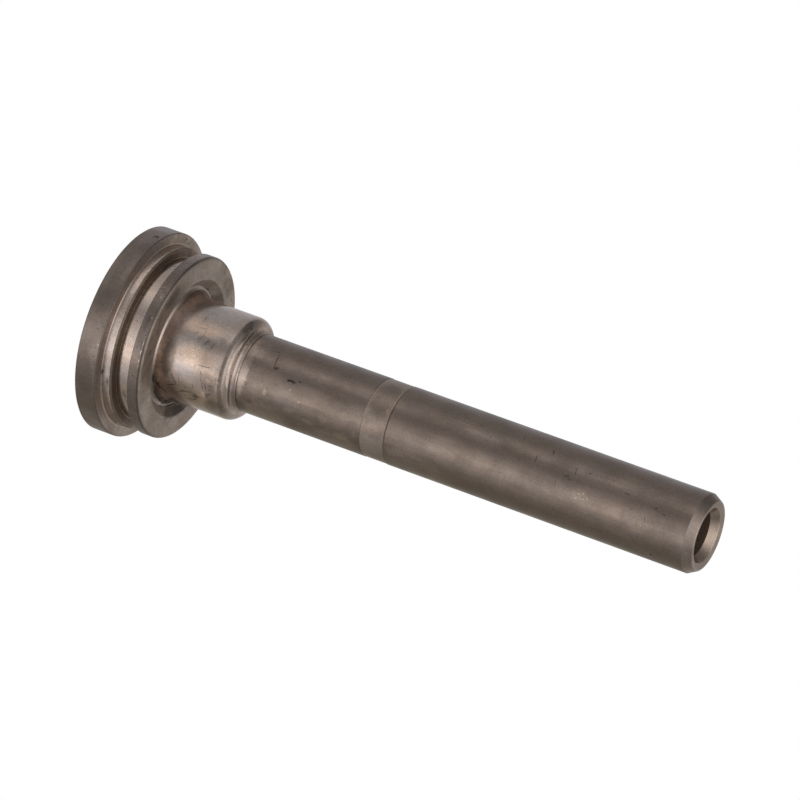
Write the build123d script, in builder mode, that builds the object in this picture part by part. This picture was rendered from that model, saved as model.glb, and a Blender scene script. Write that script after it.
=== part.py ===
"""Stepped shaft, turned in one piece from a steel forging: flange, head, journal and stem.

Millimetres, +Z along the shaft. The origin is the centre of the flange's back face,
on which the shaft stands.
"""

import os
from math import asin, cos, radians, sin, tan

from build123d import *

os.makedirs("parts", exist_ok=True)

# Driving dimensions
overall_length = 199.2
flange_radius = 33.0
flange_thickness = 7.25
head_radius = 29.3
head_front = 20.35
ring_groove_start = 10.7
ring_groove_end = 16.3
ring_groove_depth = 3.0
journal_radius = 16.5
journal_end = 43.3
stem_radius = 12.5
stem_relief_start = 87.9
stem_relief_end = 96.0
stem_relief_depth = 0.11
bore_radius = 7.25
bore_depth = 60.0

# Recess turned into the head's front face, around the root of the journal
recess_rim_radius = 22.2
recess_floor_radius = 19.4
recess_depth = 2.6

# Roots of the land and the journal: a small round that runs out in a long, slight flare
land_root_round = 0.5
land_flare_round = 12.0
land_flare_end = 9.4
journal_root_round = 1.9
journal_flare_round = 54.0
journal_flare_end = 28.5

# Root of the stem. The form tool ran slightly below the stem's surface.
stem_root_round = 1.4
stem_root_sink = 0.12
stem_root_face = 43.0

# Outside rounds and edge breaks
flange_front_round = 0.4
land_end_round = 0.8
head_front_round = 1.1
journal_end_round = 3.6
recess_corner_round = 0.5
edge_break = 0.3
fine_break = 0.15

# Free end: a tapered lead-in outside, a rounded crest, and an end face that dishes
# down to the mouth of a 60 degree centre in the bore. Angles are in degrees.
crest_radius = 10.48
crest_round = 0.7
lead_in_angle = 30
dish_angle = 18.5
centre_mouth_radius = 8.7
centre_half_angle = 30
drill_point_height = 4.2

# Worked out from the driving dimensions
ring_groove_radius = head_radius - ring_groove_depth
recess_floor = head_front - recess_depth
stem_relief_radius = stem_radius - stem_relief_depth
bore_bottom = overall_length - bore_depth

# The lead-in and the dished face both run off the round of the crest.
crest_middle = overall_length - crest_round
lead_in_end = (
    crest_radius + crest_round * cos(radians(lead_in_angle)),
    crest_middle + crest_round * sin(radians(lead_in_angle)),
)
lead_in_start = lead_in_end[1] - (stem_radius - lead_in_end[0]) / tan(radians(lead_in_angle))
dish_start = (
    crest_radius - crest_round * sin(radians(dish_angle)),
    crest_middle + crest_round * cos(radians(dish_angle)),
)
mouth_height = dish_start[1] - (dish_start[0] - centre_mouth_radius) * tan(radians(dish_angle))
centre_bottom = mouth_height - (centre_mouth_radius - bore_radius) / tan(radians(centre_half_angle))

# The journal's end is rounded until the round meets the face above the stem's root.
end_round_start = journal_end - journal_end_round
end_round_reach = stem_root_face - end_round_start
crease_radius = (
    journal_radius
    - journal_end_round
    + (journal_end_round**2 - end_round_reach**2) ** 0.5
)


def flared_root(root, flare, flare_end, face, surface):
    """Root of radius `root` on a face, run out in a flare to a surface at `flare_end`.

    Returns where it leaves the face, where the flare starts, and where the flare ends.
    """
    middle_height = face + root
    turn = asin((flare_end - middle_height) / (flare - root))
    middle_radius = surface + flare - (flare - root) * cos(turn)
    return (
        (middle_radius, face),
        (middle_radius - root * cos(turn), middle_height - root * sin(turn)),
        (surface, flare_end),
    )


def sunk_root(root, sink, face, surface):
    """Root of radius `root` on a face, that runs `sink` below the surface beside it.

    Returns where it leaves the face, its lowest point, and where it rises to the surface.
    """
    middle_height = face + root
    middle_radius = surface + root - sink
    rise = (root**2 - (root - sink) ** 2) ** 0.5
    return (
        (middle_radius, face),
        (middle_radius - root, middle_height),
        (surface, middle_height + rise),
    )


def ring(radius, height):
    """The turned edge of this radius at this height."""
    return [
        edge
        for edge in stepped_shaft.edges().filter_by(GeomType.CIRCLE)
        if abs(edge.radius - radius) < 0.01 and abs(edge.center().Z - height) < 0.01
    ]


land_root = flared_root(
    land_root_round, land_flare_round, land_flare_end, flange_thickness, head_radius
)
journal_root = flared_root(
    journal_root_round, journal_flare_round, journal_flare_end, recess_floor, journal_radius
)
stem_root = sunk_root(stem_root_round, stem_root_sink, stem_root_face, stem_radius)

with BuildPart() as stepped_shaft:
    # Half section, from the flange's back face out and along to the free end
    with BuildSketch(Plane.XZ) as half_section:
        with BuildLine() as outline:
            # Flange, and the root of the land on its face
            Polyline(
                (0, 0),
                (flange_radius, 0),
                (flange_radius, flange_thickness),
                land_root[0],
            )
            RadiusArc(land_root[0], land_root[1], land_root_round)
            RadiusArc(land_root[1], land_root[2], land_flare_round)
            # Head with its ring groove and recessed front face
            Polyline(
                land_root[2],
                (head_radius, ring_groove_start),
                (ring_groove_radius, ring_groove_start),
                (ring_groove_radius, ring_groove_end),
                (head_radius, ring_groove_end),
                (head_radius, head_front),
                (recess_rim_radius, head_front),
                (recess_floor_radius, recess_floor),
                journal_root[0],
            )
            # Journal, from its root in the recess
            RadiusArc(journal_root[0], journal_root[1], journal_root_round)
            RadiusArc(journal_root[1], journal_root[2], journal_flare_round)
            Line(journal_root[2], (journal_radius, end_round_start))
            # Rounded end of the journal, down to the root of the stem
            RadiusArc(
                (journal_radius, end_round_start),
                (crease_radius, stem_root_face),
                -journal_end_round,
            )
            Line((crease_radius, stem_root_face), stem_root[0])
            RadiusArc(stem_root[0], stem_root[1], stem_root_round)
            RadiusArc(stem_root[1], stem_root[2], stem_root_round)
            # Stem with its shallow relief, then the lead-in
            Polyline(
                stem_root[2],
                (stem_radius, stem_relief_start - fine_break),
                (stem_relief_radius, stem_relief_start),
                (stem_relief_radius, stem_relief_end - fine_break),
                (stem_radius, stem_relief_end),
                (stem_radius, lead_in_start),
                lead_in_end,
            )
            # Crest, dished end face, centre and blind bore with its drilled bottom
            RadiusArc(lead_in_end, dish_start, -crest_round)
            Polyline(
                dish_start,
                (centre_mouth_radius, mouth_height),
                (bore_radius, centre_bottom),
                (bore_radius, bore_bottom),
                (0, bore_bottom - drill_point_height),
                (0, 0),
            )
        make_face()
    revolve(axis=Axis.Z)

    # Edge breaks on the flange's back and the mouth of the centre
    chamfer(ring(flange_radius, 0), edge_break)
    chamfer(ring(centre_mouth_radius, mouth_height), fine_break)

    # Flange's front edge, and the end of the land at the ring groove
    fillet(ring(flange_radius, flange_thickness), flange_front_round)
    fillet(ring(head_radius, ring_groove_start), land_end_round)

    # Ring groove: finely rounded corners, and a broken edge at the collar
    fillet(
        ring(ring_groove_radius, ring_groove_start)
        + ring(ring_groove_radius, ring_groove_end)
        + ring(head_radius, ring_groove_end),
        fine_break,
    )

    # Head's front edge, and the edges of its recess
    fillet(ring(head_radius, head_front), head_front_round)
    fillet(ring(recess_rim_radius, head_front), edge_break)
    fillet(ring(recess_floor_radius, recess_floor), recess_corner_round)

stepped_shaft.part.label = "stepped_shaft"
export_step(stepped_shaft.part, "parts/stepped_shaft.step")
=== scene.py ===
import math
import random

import bpy
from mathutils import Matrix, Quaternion, Vector


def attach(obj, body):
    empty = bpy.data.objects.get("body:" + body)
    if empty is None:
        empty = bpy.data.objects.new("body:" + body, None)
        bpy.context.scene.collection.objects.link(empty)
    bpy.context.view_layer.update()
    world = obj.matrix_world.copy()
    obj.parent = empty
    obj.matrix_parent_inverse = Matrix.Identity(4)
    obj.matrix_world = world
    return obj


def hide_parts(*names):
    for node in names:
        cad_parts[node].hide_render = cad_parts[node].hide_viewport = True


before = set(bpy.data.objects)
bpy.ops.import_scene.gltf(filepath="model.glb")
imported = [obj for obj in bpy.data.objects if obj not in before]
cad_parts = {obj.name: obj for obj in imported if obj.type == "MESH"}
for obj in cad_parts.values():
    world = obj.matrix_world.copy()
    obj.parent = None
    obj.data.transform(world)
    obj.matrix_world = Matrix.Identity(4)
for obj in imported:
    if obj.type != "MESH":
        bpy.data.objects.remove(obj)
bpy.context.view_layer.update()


# Turned body. The shaft is one piece of steel, turned between centres from a forging.
# The tool faces the flange, then works its way up over the head, the journal and the
# stem to the free end, where the mouth is centred and the bore is drilled.

mm = 0.001
chords = 432          # straight sides that stand for one turn
hold = 0.06           # a narrow ring beside each corner keeps the long walls straight

flange_radius = 33.0
flange_thickness = 7.25
head_radius = 29.3
ring_groove = (10.7, 16.3)
ring_groove_radius = head_radius - 3.0
head_front = 20.35
recess_rim_radius = 22.2
recess_floor_radius = 19.4
recess_floor = head_front - 2.6
journal_radius = 16.5
journal_end = 43.3
journal_end_round = 3.6
journal_round_start = journal_end - journal_end_round
stem_root_face = 43.0
stem_radius = 12.5
relief = (87.9, 96.0)
relief_radius = stem_radius - 0.11
overall_length = 199.2
lead_in_start = 196.4
lead_in_radius = 10.88
centre_mouth_radius = 8.7
bore_radius = 7.25
bore_bottom = overall_length - 60.0
drill_point = 4.2

edge_break = 0.3
fine_break = 0.15

rim = {"radius": flange_radius - edge_break, "height": 0.0}
bpy.ops.object.select_all(action="DESELECT")
bpy.ops.mesh.primitive_circle_add(
    vertices=chords, radius=rim["radius"] * mm, fill_type="TRIFAN", location=(0, 0, 0))
shaft = bpy.context.active_object
shaft.name = "turned_shaft"
shaft.data.name = "turned_shaft"
bpy.ops.object.mode_set(mode="EDIT")
bpy.ops.mesh.select_mode(type="EDGE")
bpy.ops.mesh.select_all(action="DESELECT")
bpy.ops.mesh.select_non_manifold()


def turn_to(radius, height):
    """Carries the open rim on to this radius and height, in millimetres."""
    bpy.ops.mesh.extrude_region_move(
        TRANSFORM_OT_translate={"value": (0, 0, (height - rim["height"]) * mm)})
    across = radius / rim["radius"]
    bpy.ops.transform.resize(value=(across, across, 1), center_override=(0, 0, 0))
    rim.update(radius=radius, height=height)


def cut_to(radius, height):
    """A straight cut, with a holding ring just inside each of its ends."""
    start = Vector((rim["radius"], rim["height"]))
    end = Vector((radius, height))
    step = (end - start).normalized() * hold
    if (end - start).length > 6 * hold:
        turn_to(*(start + step))
        turn_to(*(end - step))
    turn_to(*end)


def round_to(middle_radius, middle_height, size, start, end, facets):
    """A round about this middle. The angles are in degrees, from outwards towards +Z."""
    for facet in range(1, facets + 1):
        turn = math.radians(start + (end - start) * facet / facets)
        turn_to(middle_radius + size * math.cos(turn), middle_height + size * math.sin(turn))


def flared_root(size, flare, flare_end, face, surface, root_facets, flare_facets):
    """A round of this size on a face, run out in a long flare to the surface above it."""
    middle_height = face + size
    turn = math.degrees(math.asin((flare_end - middle_height) / (flare - size)))
    flare_middle = surface + flare
    middle = flare_middle - (flare - size) * math.cos(math.radians(turn))
    cut_to(middle, face)
    round_to(middle, middle_height, size, 270, 180 + turn, root_facets)
    round_to(flare_middle, flare_end, flare, 180 + turn, 180, flare_facets)


def sunk_root(size, sink, face, surface):
    """The round of a form tool that ran this far below the surface above the face."""
    middle = surface + size - sink
    rise = math.degrees(math.acos((size - sink) / size))
    cut_to(middle, face)
    round_to(middle, face + size, size, 270, 180, 14)
    round_to(middle, face + size, size, 180, 180 - rise, 5)


# flange
cut_to(flange_radius, edge_break)
flange_round = 0.4
cut_to(flange_radius, flange_thickness - flange_round)
round_to(flange_radius - flange_round, flange_thickness - flange_round, flange_round, 0, 90, 6)
flared_root(size=0.5, flare=12, flare_end=9.4, face=flange_thickness, surface=head_radius,
            root_facets=12, flare_facets=6)
# land and ring groove
land_round = 0.8
cut_to(head_radius, ring_groove[0] - land_round)
round_to(head_radius - land_round, ring_groove[0] - land_round, land_round, 0, 90, 9)
cut_to(ring_groove_radius + fine_break, ring_groove[0])
round_to(ring_groove_radius + fine_break, ring_groove[0] + fine_break, fine_break, 270, 180, 5)
cut_to(ring_groove_radius, ring_groove[1] - fine_break)
round_to(ring_groove_radius + fine_break, ring_groove[1] - fine_break, fine_break, 180, 90, 5)
cut_to(head_radius - fine_break, ring_groove[1])
round_to(head_radius - fine_break, ring_groove[1] + fine_break, fine_break, 270, 360, 4)
# collar and the recess in its face
collar_round = 1.1
cut_to(head_radius, head_front - collar_round)
round_to(head_radius - collar_round, head_front - collar_round, collar_round, 0, 90, 14)
slope = math.degrees(math.atan2(recess_rim_radius - recess_floor_radius, head_front - recess_floor))
tangent = math.tan(math.radians((90 - slope) / 2))
rim_round = 0.3
rim_middle = recess_rim_radius + rim_round * tangent
beside_rim = 0.2
cut_to(recess_rim_radius + beside_rim, head_front)
round_to(rim_middle, head_front - rim_round, rim_round, 90, 180 - slope, 5)
floor_round = 0.5
floor_middle = recess_floor_radius - floor_round * tangent
cut_to(floor_middle + floor_round * math.cos(math.radians(slope)),
       recess_floor + floor_round - floor_round * math.sin(math.radians(slope)))
round_to(floor_middle, recess_floor + floor_round, floor_round, -slope, -90, 6)
# journal
flared_root(size=1.9, flare=54, flare_end=28.5, face=recess_floor, surface=journal_radius,
            root_facets=16, flare_facets=10)
cut_to(journal_radius, journal_round_start)
end_turn = math.degrees(math.asin((stem_root_face - journal_round_start) / journal_end_round))
round_to(journal_radius - journal_end_round, journal_round_start, journal_end_round, 0, end_turn, 20)
# stem
sunk_root(size=1.4, sink=0.12, face=stem_root_face, surface=stem_radius)
cut_to(stem_radius, relief[0] - fine_break)
cut_to(relief_radius, relief[0])
cut_to(relief_radius, relief[1] - fine_break)
cut_to(stem_radius, relief[1])
cut_to(stem_radius, lead_in_start)
# free end
lead_in_turn = math.degrees(math.atan2(stem_radius - lead_in_radius, overall_length - lead_in_start))
crest_round = 0.7
crest_radius = lead_in_radius - crest_round * math.tan(math.radians((90 - lead_in_turn) / 2))
crest_middle = overall_length - crest_round
cut_to(crest_radius + crest_round * math.cos(math.radians(lead_in_turn)),
       crest_middle + crest_round * math.sin(math.radians(lead_in_turn)))
dish_angle = 18.5
dish_depth = 0.57
round_to(crest_radius, crest_middle, crest_round, lead_in_turn, 90 + dish_angle, 12)
mouth_height = overall_length - dish_depth
mouth_break = 0.1
cut_to(centre_mouth_radius + mouth_break, mouth_height + mouth_break * math.tan(math.radians(dish_angle)))
cut_to(centre_mouth_radius - mouth_break / 2, mouth_height - mouth_break)
centre_angle = 30
cone_bottom = mouth_height - (centre_mouth_radius - bore_radius) / math.tan(math.radians(centre_angle))
cut_to(bore_radius, cone_bottom)
cut_to(bore_radius, bore_bottom)
drill_tip = 0.05
cut_to(drill_tip, bore_bottom - drill_point)
bpy.ops.mesh.merge(type="CENTER")
bpy.ops.mesh.select_all(action="SELECT")
bpy.ops.mesh.normals_make_consistent(inside=False)
bpy.ops.object.mode_set(mode="OBJECT")


# Pits. Small hollows left by scale and by knocks, deeper than the last cut could clean up.
# They are sunk into the same piece of steel, and their insides have stayed black.
bpy.ops.object.select_all(action="DESELECT")
bpy.ops.mesh.primitive_ico_sphere_add(subdivisions=1, radius=0.2 * mm, location=(0, 0, 0.1))
pit_tool = bpy.context.active_object
pit_tool.name = "pit_tool"
bpy.ops.object.mode_set(mode="EDIT")
bpy.ops.mesh.select_all(action="SELECT")
bpy.ops.mesh.delete(type="VERT")
stand_off = 0.35      # share of a pit's half width by which its middle stands off the surface


def pit(angle, radius, height, size):
    """A hollow of this half width in an outside surface; angles run from -X towards -Y."""
    turn = math.radians(angle)
    reach = (radius + size * stand_off) * mm
    tumble = (turn * 3, angle, height)      # each lies its own way, so that few look alike
    bpy.ops.mesh.primitive_ico_sphere_add(
        subdivisions=1, radius=size * mm, rotation=tumble,
        location=(-reach * math.cos(turn), -reach * math.sin(turn), height * mm))


# the larger pits: the surface, then the angle, height and half width of each
placed_pits = (
    (flange_radius, ((29, 5.2, 0.3), (31, 4.6, 0.22), (30, 6.0, 0.22), (28, 5.6, 0.25), (96, 4.9, 0.22),
                     (94, 6.3, 0.2), (106, 5.7, 0.2), (111, 5.7, 0.22), (115, 6.5, 0.2), (83, 3.7, 0.2))),
    (ring_groove_radius, ((32, 13.3, 0.3), (56, 11.5, 0.3), (66, 11.2, 0.28), (84, 13.2, 0.2),
                          (114, 12.2, 0.2), (101, 12.0, 0.22))),
    (head_radius, ((62, 18.6, 0.25), (117, 18.0, 0.22), (142, 18.8, 0.3), (91, 19.0, 0.2),
                   (127, 9.4, 0.28))),
    (journal_radius, ((87, 30.1, 0.2), (134, 29.2, 0.25), (75, 33.4, 0.18), (121, 35.2, 0.2),
                      (101, 36.4, 0.18))),
    (stem_radius, ((85, 61.1, 0.3), (75, 55.3, 0.22), (53, 54.2, 0.2), (102, 51.7, 0.18),
                   (62, 128, 0.2))),
)
for surface, spots in placed_pits:
    for angle, height, size in spots:
        pit(angle, surface, height, size)

# the fine pits, all round: the surface, the heights they lie between, and how many there are
scattered_pits = (
    (flange_radius, 0.8, 6.4, 26),
    (head_radius, 17, 18.9, 16),
    (ring_groove_radius, 11.3, 15.7, 14),
    (journal_radius, 29, 39.3, 16),
    (stem_radius, 46, 87, 26),
    (stem_radius, 97, 195, 50),
)
scatter = random.Random(41)
for surface, low, high, count in scattered_pits:
    for _ in range(count):
        pit(scatter.uniform(0, 360), surface, scatter.uniform(low, high), scatter.uniform(0.09, 0.17))
bpy.ops.object.mode_set(mode="OBJECT")
pit_steel = bpy.data.materials.new("pit_steel")
pit_steel.use_nodes = True
pit_inside = pit_steel.node_tree.nodes["Principled BSDF"]
pit_inside.inputs["Base Color"].default_value = (0.03, 0.022, 0.017, 1)
pit_inside.inputs["Roughness"].default_value = 0.7
pit_tool.data.materials.append(pit_steel)
bpy.ops.object.select_all(action="DESELECT")
shaft.select_set(True)
bpy.context.view_layer.objects.active = shaft
sink_pits = shaft.modifiers.new("sink_pits", "BOOLEAN")
sink_pits.operation = "DIFFERENCE"
sink_pits.object = pit_tool
sink_pits.solver = "MANIFOLD"
sink_pits.material_mode = "TRANSFER"
bpy.ops.object.modifier_apply(modifier="sink_pits")
bpy.data.objects.remove(pit_tool)
sharpest_smooth_corner = 24
bpy.ops.object.shade_smooth_by_angle(angle=math.radians(sharpest_smooth_corner))

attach(shaft, "root")
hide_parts("stepped_shaft")


# Steel finishes. The outer diameters, the stem and the faces are left from the turning
# and have darkened; the journal, the land and the groove are ground bright.

def node(kit, kind, feeds, **settings):
    """Adds a shader node with these settings; each feed is a value or another node's output."""
    made = kit.nodes.new(kind)
    for name, value in settings.items():
        setattr(made, name, value)
    for socket, feed in feeds.items():
        if isinstance(feed, bpy.types.NodeSocket):
            kit.links.new(feed, made.inputs[socket])
        else:
            made.inputs[socket].default_value = feed
    return made.outputs


def maths(kit, operation, *feeds):
    """One step of arithmetic on shader values."""
    return node(kit, "ShaderNodeMath", dict(enumerate(feeds)), operation=operation)[0]


def spread(kit, value, low, high, to_low, to_high, shape="SMOOTHSTEP"):
    """Carries a value from one range over to another."""
    return node(kit, "ShaderNodeMapRange", {"Value": value, "From Min": low, "From Max": high,
                "To Min": to_low, "To Max": to_high}, interpolation_type=shape)[0]


def clouds(kit, place, scale, detail, roughness):
    """Cloudy unevenness, as a value and as a colour."""
    return node(kit, "ShaderNodeTexNoise", {"Vector": place, "Scale": scale, "Detail": detail,
                "Roughness": roughness})


def steel(name, colour, roughness, radius, patches=0.12, streaks=0.04, lines=0.006, marks=(),
          casts=(), flat_face=False, metal=1.0, tan_share=0.35):
    """A turned steel finish: uneven patches, streaks along the axis, specks and tool lines.

    Patches and streaks are shares of the colour, and the lines are as deep as given in
    millimetres. The radius is that of the surface on which the marks are laid out.
    """
    finish = bpy.data.materials.new(name)
    finish.use_nodes = True
    kit = finish.node_tree
    surface = kit.nodes["Principled BSDF"]
    place = node(kit, "ShaderNodeTexCoord", {})["Object"]
    place = node(kit, "ShaderNodeVectorMath", {0: place, "Scale": 1 / mm}, operation="SCALE")[0]
    across, along, height = node(kit, "ShaderNodeSeparateXYZ", {0: place})
    across = maths(kit, "MULTIPLY", across, -1)
    along = maths(kit, "MULTIPLY", along, -1)
    if flat_face:
        flat = node(kit, "ShaderNodeCombineXYZ", {0: across, 1: along, 2: 0})[0]
    else:
        girth = maths(kit, "MULTIPLY", maths(kit, "ARCTAN2", along, across), radius)
        flat = node(kit, "ShaderNodeCombineXYZ", {0: girth, 1: height, 2: 0})[0]
    # uneven darkening
    patch_size = 9.0
    cloud = clouds(kit, place, 1 / patch_size, 5, 0.6)[0]
    fine = clouds(kit, place, 0.9, 3, 0.65)[0]
    long = node(kit, "ShaderNodeMapping", {"Vector": place, "Scale": (0.8, 0.8, 0.07)})[0]
    streak = clouds(kit, long, 1, 4, 0.6)[0]
    fine_patches = patches * 0.4
    tone = spread(kit, cloud, 0.3, 0.7, 1 - patches, 1 + patches)
    tone = maths(kit, "MULTIPLY", tone, spread(kit, fine, 0.3, 0.7, 1 - fine_patches, 1 + fine_patches))
    tone = maths(kit, "MULTIPLY", tone, spread(kit, streak, 0.3, 0.7, 1 - streaks, 1 + streaks))
    # marks left by handling, with painted light, painted shade and painted highlights
    ragged = clouds(kit, place, 0.8, 4, 0.6)[1]
    ragged = node(kit, "ShaderNodeVectorMath", {0: ragged, 1: (0.5, 0.5, 0.5)}, operation="SUBTRACT")[0]

    def mark(angle, level, half_across, half_along, lean, inside, outside):
        """A ragged spot, with one value in its middle and another past its edge."""
        jag = min(2.6, 2.3 * min(half_across, half_along) + 0.12)
        worn = node(kit, "ShaderNodeVectorMath", {0: ragged, 1: (jag, jag, 0), 2: flat},
                    operation="MULTIPLY_ADD")[0]
        turn = math.radians(angle)
        if flat_face:
            centre = (level * math.cos(turn), level * math.sin(turn), 0)
        else:
            centre = (turn * radius, level, 0)
        near = node(kit, "ShaderNodeMapping", {"Vector": worn, "Location": centre,
                    "Rotation": (0, 0, math.radians(lean)), "Scale": (half_across, half_along, 1)},
                    vector_type="TEXTURE")[0]
        reach = node(kit, "ShaderNodeVectorMath", {0: near}, operation="LENGTH")[1]
        return spread(kit, reach, 0.55, 1.0, inside, outside)

    for _, *spot, shade in marks:
        tone = maths(kit, "MULTIPLY", tone, mark(*spot, shade, 1))
    # small dark specks
    speck_depth = 0.5
    dots = node(kit, "ShaderNodeTexVoronoi", {"Vector": place, "Scale": 0.42})
    few = node(kit, "ShaderNodeSeparateColor", {0: dots["Color"]})[0]
    size = spread(kit, few, 0.82, 1.0, 0, 0.11, "LINEAR")
    inside = maths(kit, "DIVIDE", dots["Distance"], maths(kit, "ADD", size, 0.001))
    tone = maths(kit, "MULTIPLY", tone, spread(kit, inside, 0.6, 1.2, 1 - speck_depth, 1))
    grain = clouds(kit, place, 3.2, 2, 0.6)[0]
    tone = maths(kit, "MULTIPLY", tone, spread(kit, grain, 0.3, 0.7, 0.8, 1.16, "LINEAR"))
    # tan where the oil has baked on, greyer where it is rubbed
    moved = node(kit, "ShaderNodeMapping", {"Vector": place, "Location": (31, 17, 5),
                 "Scale": (0.15, 0.15, 0.1)})[0]
    baked = clouds(kit, moved, 1, 3, 0.55)[0]
    baked = spread(kit, baked, 0.35, 0.68, 0.5 - tan_share / 2, 0.5 + tan_share / 2)
    for _, *spot, share in casts:
        baked = maths(kit, "ADD", baked, mark(*spot, share, 0))
    grey = tuple(level * tint for level, tint in zip(colour, (0.97, 1.01, 1.045)))
    tan = tuple(level * tint for level, tint in zip(colour, (1.07, 0.975, 0.87)))
    tint = node(kit, "ShaderNodeMix", {0: baked, 6: (*grey, 1), 7: (*tan, 1)}, data_type="RGBA")[2]
    colours = node(kit, "ShaderNodeVectorMath", {0: tint, "Scale": tone}, operation="SCALE")[0]
    kit.links.new(colours, surface.inputs["Base Color"])
    rough = spread(kit, cloud, 0.3, 0.7, roughness * 1.2, roughness * 0.85)
    kit.links.new(rough, surface.inputs["Roughness"])
    surface.inputs["Metallic"].default_value = metal
    # tool lines
    rings = node(kit, "ShaderNodeMapping", {"Vector": place, "Scale": (0.05, 0.05, 4.0)})[0]
    ridge = clouds(kit, rings, 1, 3, 0.7)[0]
    ridge = maths(kit, "ADD", ridge, maths(kit, "MULTIPLY", fine, 0.5))
    bump = node(kit, "ShaderNodeBump", {"Height": ridge, "Strength": 1.0, "Distance": lines * mm})[0]
    kit.links.new(bump, surface.inputs["Normal"])
    return finish


# Each mark is what it looks like, its angle, its height (on a flat face, its radius), its
# half widths across and along, its lean in degrees, and how far it lightens or darkens the
# steel. A cast is the same, and moves the steel towards tan or, below zero, towards grey.
# Many of the broad ones are painted light and painted shade: they set how light or dark a zone looks, and
# stand for no blemish.
rim_marks = (
    ("dark smudge", 29, 5.2, 0.9, 1.2, 15, 0.4),
    # The dull and rubbed patches here are painted shade and painted light, set by angle round the rim.
    ("dull patch", 60, 3.2, 9, 2.2, 0, 0.88),
    ("rubbed patch", 25, 3.6, 11, 4.5, 0, 1.3),
    ("dull patch", 82, 3.4, 6, 3.0, 0, 0.85),
    ("dull patch", 122, 3.2, 9, 4.0, 10, 0.8),
    ("rubbed patch", 158, 3.4, 8, 4.0, 0, 1.15),
    ("bright nick", 104, 6.4, 0.3, 0.3, 0, 2.0),
)
ground_marks = (
    # Painted highlight across the journal's bright band, then painted shade over its far end and on the end
    # round.
    ("rubbed bright", 101, 28, 6.5, 5, 0, 1.12),
    ("baked end", 92, 37.2, 12, 5.4, 0, 0.78),
    ("baked end", 118, 36.5, 3.5, 5, 0, 0.82),
    ("baked round", 62, 42.2, 10, 1.1, 0, 0.78),
    ("dark crescent", 40, 41.4, 4.5, 1.2, 0, 0.65),
    ("dull patch", 76, 32.0, 2.0, 3.2, 10, 0.84),
    ("dull stroke", 74, 30.4, 0.6, 1.5, 50, 0.76),
    ("dull stroke", 78, 32.8, 0.6, 1.7, 65, 0.7),
    ("dull stroke", 79, 35.2, 0.5, 1.8, 80, 0.74),
    ("dull stroke", 71, 28.2, 0.5, 1.3, 35, 0.8),
    ("dull patch", 70, 37.6, 1.6, 1.2, 0, 0.8),
    ("lit root", 50, 21.4, 7.5, 2.4, 0, 1.35),
    # Darker on the journal's lower side.
    ("stained side", 142, 28.5, 5, 7, 0, 0.72),
    ("stain", 128, 25.2, 2.5, 0.7, 25, 0.62),
    ("stain", 142, 32.5, 2.0, 1.2, 10, 0.66),
    ("scratch", 52, 28.3, 1.9, 0.16, 0, 0.55),
    ("scratch", 63, 29.6, 0.16, 2.2, 8, 0.6),
    ("scratch", 66, 30.8, 1.1, 0.14, 10, 0.5),
    ("scratch", 102, 34.8, 0.16, 3.2, 4, 0.4),
    ("scratch", 105, 31.8, 0.8, 0.15, 15, 0.5),
    ("scratch", 124, 27.0, 2.6, 0.14, 0, 0.6),
    ("oil line", 110, 34.2, 1.1, 0.2, 30, 0.45),
    ("oil line", 117, 34.6, 1.3, 0.18, 10, 0.45),
    ("oil line", 125, 35.4, 1.5, 0.2, 20, 0.45),
    ("oil line", 134, 36.8, 1.6, 0.22, 35, 0.45),
    ("oil line", 121, 37.9, 0.24, 1.3, 0, 0.5),
    ("oil line", 128, 32.0, 1.1, 0.2, 20, 0.5),
    ("oil line", 139, 29.2, 0.3, 3.0, 10, 0.45),
    ("oil line", 141, 33.0, 0.3, 2.4, 0, 0.5),
    ("oil line", 136, 24.4, 0.3, 2.0, 20, 0.45),
    ("oil line", 125, 36.4, 1.8, 0.22, 10, 0.45),
    ("oil line", 132, 37.6, 0.3, 1.4, 30, 0.5),
    ("bare spot", 134, 35.6, 1.1, 0.9, 20, 1.35),
    ("bare spot", 116, 37.0, 1.0, 0.8, 0, 1.3),
    # Baked oil on the low side of the journal's end, carrying painted shade as well; painted light on the
    # end round beside it.
    ("baked side", 136, 38.6, 6.5, 2.4, 0, 0.74),
    ("baked side", 152, 38.8, 5.5, 4.2, 0, 0.68),
    ("baked side", 106, 39.7, 4.0, 1.1, 0, 0.8),
    ("rubbed round", 110, 41.2, 5.5, 0.95, 0, 1.35),
    ("oil line", 143, 27.2, 0.25, 2.8, 30, 0.5),
    ("oil line", 148, 31.5, 0.3, 2.8, 20, 0.5),
    ("baked land", 90, 10.6, 60, 0.7, 0, 0.7),
    ("lit land", 32, 8.9, 12, 1.6, 0, 1.5),
    ("lit land", 138, 8.9, 8, 1.6, 0, 1.4),
    ("land stain", 127, 9.4, 1.2, 0.7, 0, 0.55),
    ("land rub", 74, 8.9, 2.4, 0.5, 0, 1.2),
    ("root stain", 121, 7.7, 0.8, 0.5, 0, 0.35),
    ("groove stain", 138, 13.4, 1.4, 1.0, 15, 0.7),
    ("groove line", 146, 14.2, 3.4, 0.2, 25, 0.45),
    ("root line", 134, 18.6, 2.4, 0.35, 0, 0.3),
    ("root line", 141, 19.9, 2.6, 0.4, 20, 0.35),
    ("root line", 147, 21.4, 2.2, 0.35, 30, 0.45),
    # Painted shade over the root's bright reflections and on the flare, with a painted highlight where the
    # root catches light.
    ("dull root", 148, 18.6, 11, 2.2, 0, 0.55),
    ("dull root", 160, 18.2, 7, 2.0, 0, 0.7),
    ("dull root", -165, 18.4, 9, 2.6, 0, 0.45),
    ("bright root", 78, 18.6, 11, 2.8, 0, 1.35),
    ("baked root", 106, 22.5, 7.5, 2.7, 0, 0.62),
    ("dull root", 5, 18.8, 11, 2.2, 0, 0.6),
    ("dull root", 18, 18.4, 6, 2.0, 0, 0.75),
    ("recess line", 165, 18.4, 6.5, 0.4, 0, 0.5),
)
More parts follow.
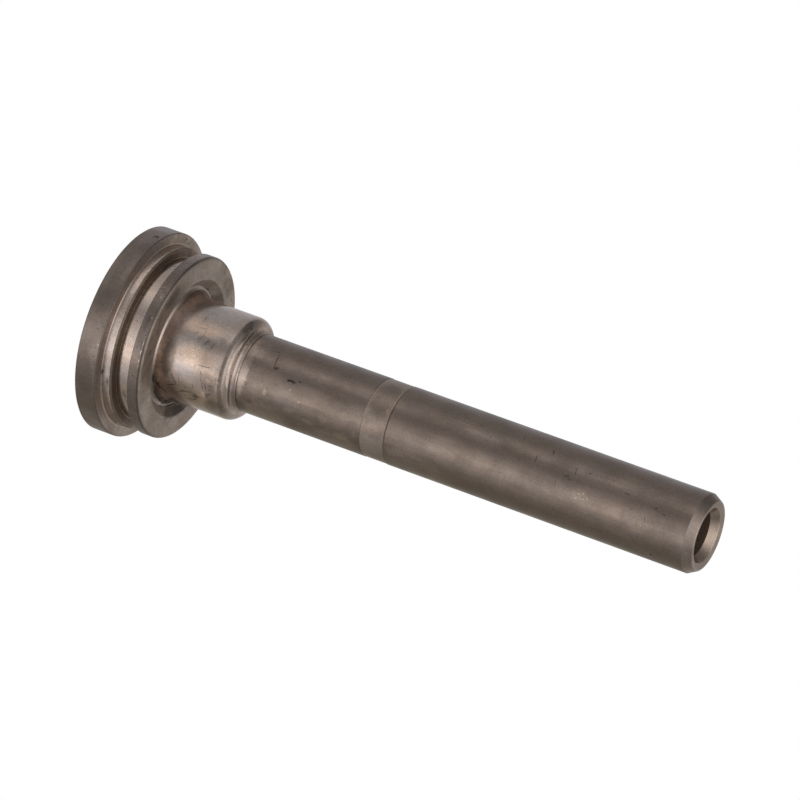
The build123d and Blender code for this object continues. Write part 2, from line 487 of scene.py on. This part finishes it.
ground_casts = (
    ("grey land", 140, 8.9, 12, 2.4, 0, -0.4),
    ("tan band", 63, 30, 2.4, 9, 2, 0.5),
    ("grey top", 35, 30, 6.5, 10, 0, -0.45),
    ("grey side", 79, 30, 2.4, 7, 0, -0.4),
    ("tan band", 95, 32, 2.6, 8, 0, 0.45),
    ("silver band", 113, 28, 2.6, 5, 0, -0.35),
    ("brown side", 140, 32, 6, 10, 0, 0.4),
    ("grey root", 50, 21, 8, 3, 0, -0.5),
)
stem_marks = (
    # Painted shade low at the stem's foot, and painted light on its lower side and near the free end.
    ("dull side", 152, 46, 4, 2.8, 0, 0.75),
    ("rubbed patch", 112, 176, 6, 8, 0, 1.16),
    ("rubbed side", 143, 106, 5, 13, 0, 1.2),
    ("bracket", 49, 52.9, 0.25, 1.5, 0, 0.6),
    ("bracket", 64, 54.6, 2.9, 0.3, 6, 0.5),
    ("smudge", 74, 55.7, 0.7, 1.1, 0, 0.5),
    ("black star", 84, 62.0, 0.55, 1.8, 0, 0.3),
    ("star arm", 81, 64.6, 0.35, 0.8, 0, 0.45),
    ("rubbed patch", 62, 48.4, 2.2, 2.2, 0, 1.25),
    # Lighter at the stem's foot on the near side, then patches of painted light, most on the lower side.
    ("ground run-out", 88, 45.4, 14, 2.6, 0, 1.5),
    ("ground run-out", 97, 45.8, 5.5, 2.4, 0, 1.3),
    ("light patch", 98, 54, 7, 9, 0, 1.08),
    ("light patch", 150, 54, 6, 10, 0, 1.35),
    ("light patch", 150, 79, 4, 9, 0, 1.35),
    ("mottled", 126, 63, 1.2, 2.2, 20, 1.22),
    ("mottled", 133, 70, 1.0, 2.8, 0, 1.25),
    ("mottled", 121, 75, 1.5, 1.6, 30, 1.18),
    ("mottled", 138, 82, 1.6, 3.0, 10, 1.25),
    ("mottled", 127, 86, 1.5, 1.2, 0, 1.18),
    ("mottled", 131, 100, 2.2, 4.0, 0, 1.2),
    ("dull streak", 112, 70, 1.0, 7, 0, 0.88),
    # A patch of painted light.
    ("light patch", 45, 47.5, 4, 4, 0, 1.12),
    ("stain", 135, 49.5, 1.0, 1.6, 30, 0.7),
    ("stain", 108, 47.6, 1.0, 0.8, 30, 0.75),
    ("light spot", 111, 54.4, 1.3, 0.75, 0, 1.5),
    ("light spot", 122, 46.0, 1.4, 1.0, 0, 1.35),
    ("stain", 96, 57.6, 1.2, 1.0, 0, 0.85),
    ("bright nick", 96, 62.5, 0.3, 0.3, 0, 1.9),
    ("bright nick", 108, 66.1, 0.3, 0.3, 0, 1.9),
    ("bright nick", 99, 68.2, 0.25, 0.25, 0, 1.7),
    # Streaks of wear that also carry a painted highlight along the stem.
    ("worn streak", 64, 69, 1.2, 6, 5, 1.14),
    ("dull patch", 92, 79, 3, 4.5, 0, 0.88),
    # Painted shade in the corner at the relief's step.
    ("baked-on line at the step", 88, 96.12, 11, 0.2, 0, 0.4),
    ("scratch", 69, 144.3, 2.2, 0.16, 10, 0.4),
    ("scratch", 45, 137.5, 1.9, 0.14, 10, 0.5),
    ("scratch", 80, 139.6, 1.3, 0.14, 20, 0.6),
    ("nick", 51, 148.1, 1.1, 0.26, 15, 0.35),
    ("scratch", 67, 157.4, 1.7, 0.18, 12, 0.4),
    ("smudge", 78, 155.3, 0.5, 1.1, 25, 0.72),
    ("smudge", 81, 156.6, 0.4, 0.9, -20, 0.72),
    ("nick", 63, 161.7, 0.3, 0.5, 0, 0.5),
    ("smudge", 73, 175.0, 0.35, 1.3, 0, 0.7),
    ("nick", 91, 177.8, 0.5, 0.2, 0, 0.5),
    ("scratch", 92, 152.8, 1.2, 0.14, 15, 0.6),
    ("scratch", 129, 154.0, 1.0, 0.14, 15, 0.65),
    ("nick", 79, 185.0, 0.3, 0.7, 40, 0.5),
    ("nick", 83, 188.0, 0.25, 0.6, 0, 0.55),
    ("scratch", 98, 182.9, 1.5, 0.14, 10, 0.5),
    ("black pit", 149, 186.3, 0.4, 0.5, 0, 0.35),
    ("rubbed patch", 96, 161.0, 2.6, 3.4, 0, 1.14),
    ("bright nick", 90, 160.6, 0.25, 0.25, 0, 1.7),
    ("bright nick", 93, 162.2, 0.3, 0.25, 0, 1.7),
    ("bright nick", 96, 160.9, 0.25, 0.3, 0, 1.8),
    ("bright nick", 100, 162.8, 0.25, 0.25, 0, 1.6),
    ("bright nick", 102, 160.2, 0.3, 0.3, 0, 1.6),
    ("bright nick", 98, 163.9, 0.2, 0.3, 0, 1.7),
    ("dull patch", 86, 158.5, 2.4, 5, 0, 0.9),
    ("dull patch", 70, 138, 2.2, 7, 0, 0.86),
    # Streaks of wear that also carry a painted highlight along the stem.
    ("worn streak", 62, 126, 1.2, 8, 0, 1.12),
    ("worn streak", 66, 168, 0.9, 7, 0, 1.12),
    ("worn streak", 96, 130, 2.2, 13, 0, 1.1),
    ("dull patch", 118, 172, 2.2, 9, 0, 0.9),
)
face_marks = (
    ("dark smudge", 359, 31.4, 0.7, 0.7, 0, 0.4),
    ("dark smudge", 354, 30.9, 0.5, 0.8, 0, 0.5),
    ("streak", 27, 24.8, 0.2, 2.4, -40, 0.6),
    ("streak", 346, 27.4, 0.3, 2.2, -60, 0.55),
    ("streak", 314, 26.7, 0.3, 2.0, -30, 0.55),
    ("streak", 325, 24.4, 0.3, 2.4, -50, 0.6),
    ("stain", 348, 19.5, 0.6, 1.2, 0, 0.5),
    ("rust stain", 328, 21.4, 1.9, 1.7, 0, 0.8),
    ("rust outline", 324, 21.9, 0.3, 0.9, 0, 0.7),
    ("rust outline", 332, 19.9, 0.9, 0.3, 20, 0.65),
    ("rust outline", 343, 20.6, 0.3, 1.2, 20, 0.6),
    # Baked oil on the near side of the face, carrying painted shade as well.
    ("baked side", 95, 25.6, 9, 2.4, 0, 0.92),
    ("baked side", 78, 26.6, 3, 0.8, 10, 0.8),
    ("baked side", 86, 24.6, 1.2, 0.8, 10, 0.75),
    ("baked side", 92, 27.2, 1.6, 0.5, 0, 0.72),
    ("baked side", 101, 25.4, 1.0, 0.9, 0, 0.75),
    ("baked side", 118, 27.0, 4, 1.0, -20, 0.85),
    ("baked side", 112, 24.0, 3, 0.9, 20, 0.82),
    ("baked side", 60, 25.8, 6, 2.4, -30, 0.66),
    # Painted shade on the top of the face and on the recess wall below.
    ("dull top", 330, 25.6, 6, 3.2, 60, 0.8),
    ("dull wall", 200, 21.2, 8, 2.0, 110, 0.45),
    ("dark outline", 175, 19.3, 4.5, 0.35, 85, 0.4),
    ("dark outline", 200, 19.5, 4.0, 0.35, 110, 0.4),
    ("streak", 192, 24.0, 0.25, 2.4, 80, 0.6),
    # Painted light on the lower part of the face.
    ("rubbed patch", 150, 26, 5, 2.2, 60, 1.12),
    ("rubbed patch", 145, 23.2, 2.6, 1.6, 55, 1.15),
    ("rubbed patch", 122, 28.0, 3.0, 1.0, 32, 1.15),
)
collar_marks = (
    ("bright scratch", 59, 17.3, 0.12, 1.2, 25, 2.0),
    ("bright scratch", 62, 17.0, 0.1, 0.7, 25, 1.9),
    # Painted shade on the collar's near side and painted light on its top.
    ("dull patch", 84, 18.0, 3.5, 0.8, 0, 0.85),
    ("rubbed patch", 26, 18, 10, 2.4, 0, 1.4),
    ("dull patch", 90, 17.8, 6, 1.6, 0, 0.88),
    ("stain", 97, 18.7, 1.6, 0.5, 0, 0.75),
    ("bright nick", 66, 18.4, 0.35, 0.3, 0, 2.2),
    ("bright nick", 80, 18.9, 0.35, 0.25, 0, 2.2),
    # Painted highlight along the collar's front edge.
    ("bright edge", 96, 19.1, 0.9, 0.16, 0, 2.4),
    ("bright edge", 101, 19.1, 1.1, 0.16, 0, 2.6),
    ("bright edge", 107, 19.1, 0.7, 0.16, 0, 2.4),
    ("bright edge", 110, 19.15, 0.5, 0.16, 0, 2.2),
)
root_marks = (
    ("lit root", 90, 43.8, 6, 1.6, 0, 1.35),
    # Painted shade on the root's upper side.
    ("dull root", 38, 43.8, 5, 1.6, 0, 0.7),
    ("stain", 142, 43.6, 5, 1.6, 0, 0.85),
)
relief_marks = (
    # Painted shade on the relief's upper side and over its highlight, painted light on its lower side.
    ("dull patch", 60, 92, 7.5, 6, 0, 0.72),
    ("dull band", 102, 92, 5.5, 7, 0, 0.72),
    ("rubbed side", 136, 92, 4, 7, 0, 1.15),
    ("rubbed patch", 78, 94.8, 1.4, 0.6, 0, 1.3),
    # Painted highlights along the edges of the relief's steps.
    ("bright step", 55, 95.7, 6, 0.2, 0, 1.5),
    ("bright step", 60, 88.1, 7, 0.15, 0, 1.3),
)
relief_casts = (
    ("grey side", 134, 92, 5, 8, 0, -0.4),
)
lead_in_marks = (
    # Painted light on the lower side of the lead-in.
    ("rubbed edge", 150, 197.6, 7, 2.4, 0, 1.3),
)
finishes = {
    "rim": steel("rim_steel", (0.232, 0.191, 0.171), 0.33, flange_radius, patches=0.08,
                 marks=rim_marks, tan_share=0.15),
    "relief": steel("relief_steel", (0.37, 0.298, 0.26), 0.34, stem_radius, patches=0.08,
                    marks=relief_marks, casts=relief_casts),
    "root": steel("root_steel", (0.52, 0.43, 0.38), 0.38, stem_radius, patches=0.14, lines=0.004,
                  marks=root_marks, tan_share=0.6),
    "cone": steel("cone_steel", (0.52, 0.415, 0.345), 0.21, stem_radius, patches=0.08, lines=0.003),
    "lead_in": steel("lead_in_steel", (0.35, 0.29, 0.258), 0.3, stem_radius, patches=0.08,
                     marks=lead_in_marks),
    "ground": steel("ground_steel", (0.52, 0.43, 0.385), 0.17, journal_radius, patches=0.1,
                    streaks=0.03, lines=0.002, marks=ground_marks, casts=ground_casts, tan_share=0.5),
    "stem": steel("stem_steel", (0.236, 0.19, 0.166), 0.3, stem_radius, patches=0.075, streaks=0.05,
                  marks=stem_marks, tan_share=0.2),
    "face": steel("face_steel", (0.39, 0.328, 0.287), 0.5, head_radius, flat_face=True,
                  marks=face_marks),
    "back": steel("back_steel", (0.36, 0.3, 0.265), 0.5, head_radius, flat_face=True),
    "wall": steel("wall_steel", (0.3, 0.235, 0.19), 0.5, head_radius, flat_face=True),
    "collar": steel("collar_steel", (0.23, 0.19, 0.172), 0.33, head_radius, marks=collar_marks),
    "bore": steel("bore_steel", (0.17, 0.125, 0.095), 0.6, bore_radius, metal=0.5),
}
pit_slot = shaft.data.materials.find("pit_steel")
slots = {}
for name, finish in finishes.items():
    shaft.data.materials.append(finish)
    slots[name] = len(shaft.data.materials) - 1


def lay(finish, low, high, inner, outer):
    """Gives this finish to the faces between two heights and two radii, in millimetres."""
    for face in shaft.data.polygons:
        if face.material_index == pit_slot:
            continue
        height = face.center.z / mm
        radius = math.hypot(face.center.x, face.center.y) / mm
        if low <= height <= high and inner <= radius <= outer:
            face.material_index = slots[finish]


slack = 0.01          # how far a zone runs past the surface that it is named for
hair = 0.001
stem_foot = 44.5      # where the dark stem starts, on the round of its root
lay("rim", 0, flange_thickness - hair, flange_radius - 1, flange_radius)
lay("back", -slack, slack, 0, flange_radius - 0.2)
lay("bore", slack, edge_break - slack, flange_radius - 0.4, flange_radius)    # the back edge is as dark
lay("face", flange_thickness - slack, flange_thickness + slack, head_radius + 0.4, flange_radius - 0.2)
lay("ground", flange_thickness + slack, ring_groove[1] + slack, ring_groove_radius - 0.3, head_radius + 0.6)
lay("wall", ring_groove[0] - 0.6, ring_groove[0] + hair, ring_groove_radius + 0.1, head_radius + slack)
lay("collar", ring_groove[1] + slack, head_front - 0.3, head_radius - 0.5, head_radius + slack)
lay("face", head_front - 0.35, head_front + slack, recess_rim_radius, head_radius - 0.3)
lay("face", recess_floor - slack, head_front + slack, recess_floor_radius - 0.3, recess_rim_radius + 0.3)
lay("ground", recess_floor + hair, stem_foot, stem_radius - 0.2, recess_floor_radius - 0.1)
lay("root", stem_root_face - 0.1, stem_foot, stem_radius - 0.2, journal_radius - 1.3)
lay("stem", stem_foot, lead_in_start, stem_radius - 0.2, stem_radius + 2)
lay("relief", relief[0] - slack, relief[1] + slack, stem_radius - 0.2, stem_radius + slack)
lay("face", lead_in_start + slack, overall_length, centre_mouth_radius + 0.02, stem_radius)
lay("lead_in", lead_in_start + slack, overall_length, crest_radius, stem_radius)
lay("cone", cone_bottom - 0.1, overall_length, bore_radius + hair, centre_mouth_radius + 0.03)
lay("bore", bore_bottom - drill_point, overall_length, 0, bore_radius + hair)


# Floor. The shaft stands on its flange on a plain white sheet, far larger than the view.
# The sheet lies a hair below the flange's back face, so the two never share a plane. It
# doesn't show in the steel, which reflects the room through it.
sheet_gap = 0.05 * mm
bpy.ops.object.select_all(action="DESELECT")
sheet_radius = 6
bpy.ops.mesh.primitive_circle_add(
    vertices=96, radius=sheet_radius, fill_type="NGON", location=(0, 0, -sheet_gap))
floor = bpy.context.active_object
floor.name = "white_sheet"
floor.visible_glossy = False
sheet = bpy.data.materials.new("white_sheet")
sheet.use_nodes = True
kit = sheet.node_tree
paper = kit.nodes["Principled BSDF"]
paper.inputs["Base Color"].default_value = (0.8, 0.8, 0.8, 1)
paper.inputs["Roughness"].default_value = 0.9
white_share = 0.95    # of what the camera sees; the rest is the paper with its soft shadow
seen = node(kit, "ShaderNodeLightPath", {})["Is Camera Ray"]
share = maths(kit, "MULTIPLY", seen, white_share)
glow = node(kit, "ShaderNodeEmission", {"Strength": 1.03})[0]
lit_paper = node(kit, "ShaderNodeMixShader", {0: share, 1: paper.outputs[0], 2: glow})[0]
kit.links.new(lit_paper, kit.nodes["Material Output"].inputs["Surface"])
floor.data.materials.append(sheet)


# Studio. The shaft is seen against plain white, but only the lens sees that white. A dim
# room lights the steel and shows in it, with a broad soft light beside the lens, a narrow
# one on its other side and a faint lamp overhead.
world = bpy.data.worlds.new("studio")
bpy.context.scene.world = world
world.use_nodes = True
room = world.node_tree
room.nodes.clear()
looking = node(room, "ShaderNodeTexCoord", {})["Generated"]
sideways, backwards, upwards = node(room, "ShaderNodeSeparateXYZ", {0: looking})
heading = maths(room, "ARCTAN2", sideways, maths(room, "MULTIPLY", backwards, -1))
share_of_turn = spread(room, heading, -math.pi, math.pi, 0, 1, "LINEAR")
brightest = 2.0       # a ramp can't pass one, so it holds each level as a share of this


def band_of_room(stops):
    """A band of the room: heading in degrees from the lens towards +X, level and warmth."""
    band = node(room, "ShaderNodeValToRGB", {0: share_of_turn})
    ramp = room.nodes[-1].color_ramp
    ramp.interpolation = "B_SPLINE"
    while len(ramp.elements) > 1:
        ramp.elements.remove(ramp.elements[0])
    for index, (degrees, level, warmth) in enumerate(stops):
        spot = (degrees + 180) / 360
        share = level / brightest
        stop = ramp.elements.new(spot) if index else ramp.elements[0]
        stop.position = spot
        stop.color = (share * (1 + warmth * 0.3), share, share * (1 - warmth), 1)
    return band[0]


low_band = band_of_room((
    (-180, 0.85, 0), (-168, 0.48, -0.1), (-150, 0.58, -0.08), (-115, 0.42, -0.02), (-80, 0.42, 0),
    (-62, 0.72, 0), (-48, 0.95, 0), (-30, 0.28, 0), (-12, 0.6, 0), (6, 1.0, 0), (18, 1.05, 0),
    (30, 1.7, 0), (42, 1.04, 0), (54, 0.78, 0), (66, 0.62, 0), (78, 0.42, 0.05), (110, 0.32, 0.12),
    (145, 0.35, 0.14), (168, 0.52, 0.05), (180, 0.85, 0)))
middle_band = band_of_room((
    (-180, 0.68, 0), (-160, 0.5, 0), (-134, 0.18, 0), (-100, 0.15, 0), (-60, 0.33, 0), (0, 0.36, 0),
    (60, 0.22, 0.03), (102, 0.19, 0.05), (134, 0.3, 0.05), (160, 0.5, 0.03), (180, 0.68, 0)))
high_band = band_of_room((
    (-180, 0.62, 0), (-140, 0.17, 0), (-100, 0.17, 0), (-65, 0.38, 0), (-25, 1.0, 0), (10, 1.0, 0),
    (35, 0.72, 0), (65, 0.5, 0.03), (102, 0.27, 0.05), (140, 0.42, 0.05), (180, 0.62, 0)))
from_low = spread(room, upwards, -0.25, 0.05, 0, 1)
to_high = spread(room, upwards, 0.42, 0.6, 0, 1)
bands = node(room, "ShaderNodeMix", {0: from_low, 6: low_band, 7: middle_band}, data_type="RGBA")[2]
bands = node(room, "ShaderNodeMix", {0: to_high, 6: bands, 7: high_band}, data_type="RGBA")[2]
ceiling = spread(room, upwards, 0.8, 0.97, 1, 0.5)
table = spread(room, upwards, -0.85, -0.55, 0.35, 1)
level = maths(room, "MULTIPLY", maths(room, "MULTIPLY", ceiling, table), brightest)
studio = node(room, "ShaderNodeBackground", {"Color": bands, "Strength": level})[0]
white = node(room, "ShaderNodeBackground", {"Color": (1, 1, 1, 1)})[0]
rays = node(room, "ShaderNodeLightPath", {})
both = node(room, "ShaderNodeMixShader", {0: rays["Is Camera Ray"], 1: studio, 2: white})[0]
node(room, "ShaderNodeOutputWorld", {"Surface": both})

bpy.ops.object.light_add(type="AREA", location=(0, 0, 1.6))
overhead = bpy.context.active_object
overhead.name = "overhead_light"
overhead.data.shape = "DISK"
overhead.data.size = 1.6
overhead.data.energy = 5


# Camera. A long lens looks down a little on the shaft, and is rolled over so that the
# flange comes at the upper left and the free end at the lower right.
aim = Vector((-7.1, 0, 92.3)) * mm
distance = 1.5903
elevation = math.radians(21.94)
roll = math.radians(90 + 19.73)
towards_lens = Vector((0, -math.cos(elevation), math.sin(elevation)))
bpy.ops.object.camera_add(location=aim + towards_lens * distance)
camera = bpy.context.active_object
upright = towards_lens.to_track_quat("Z", "Y")
camera.rotation_mode = "QUATERNION"
camera.rotation_quaternion = upright @ Quaternion((0, 0, 1), roll)
camera.data.sensor_width = 36
camera.data.lens = 236.88
camera.data.clip_end = 20
bpy.context.scene.camera = camera
bpy.context.scene.view_settings.view_transform = "Standard"
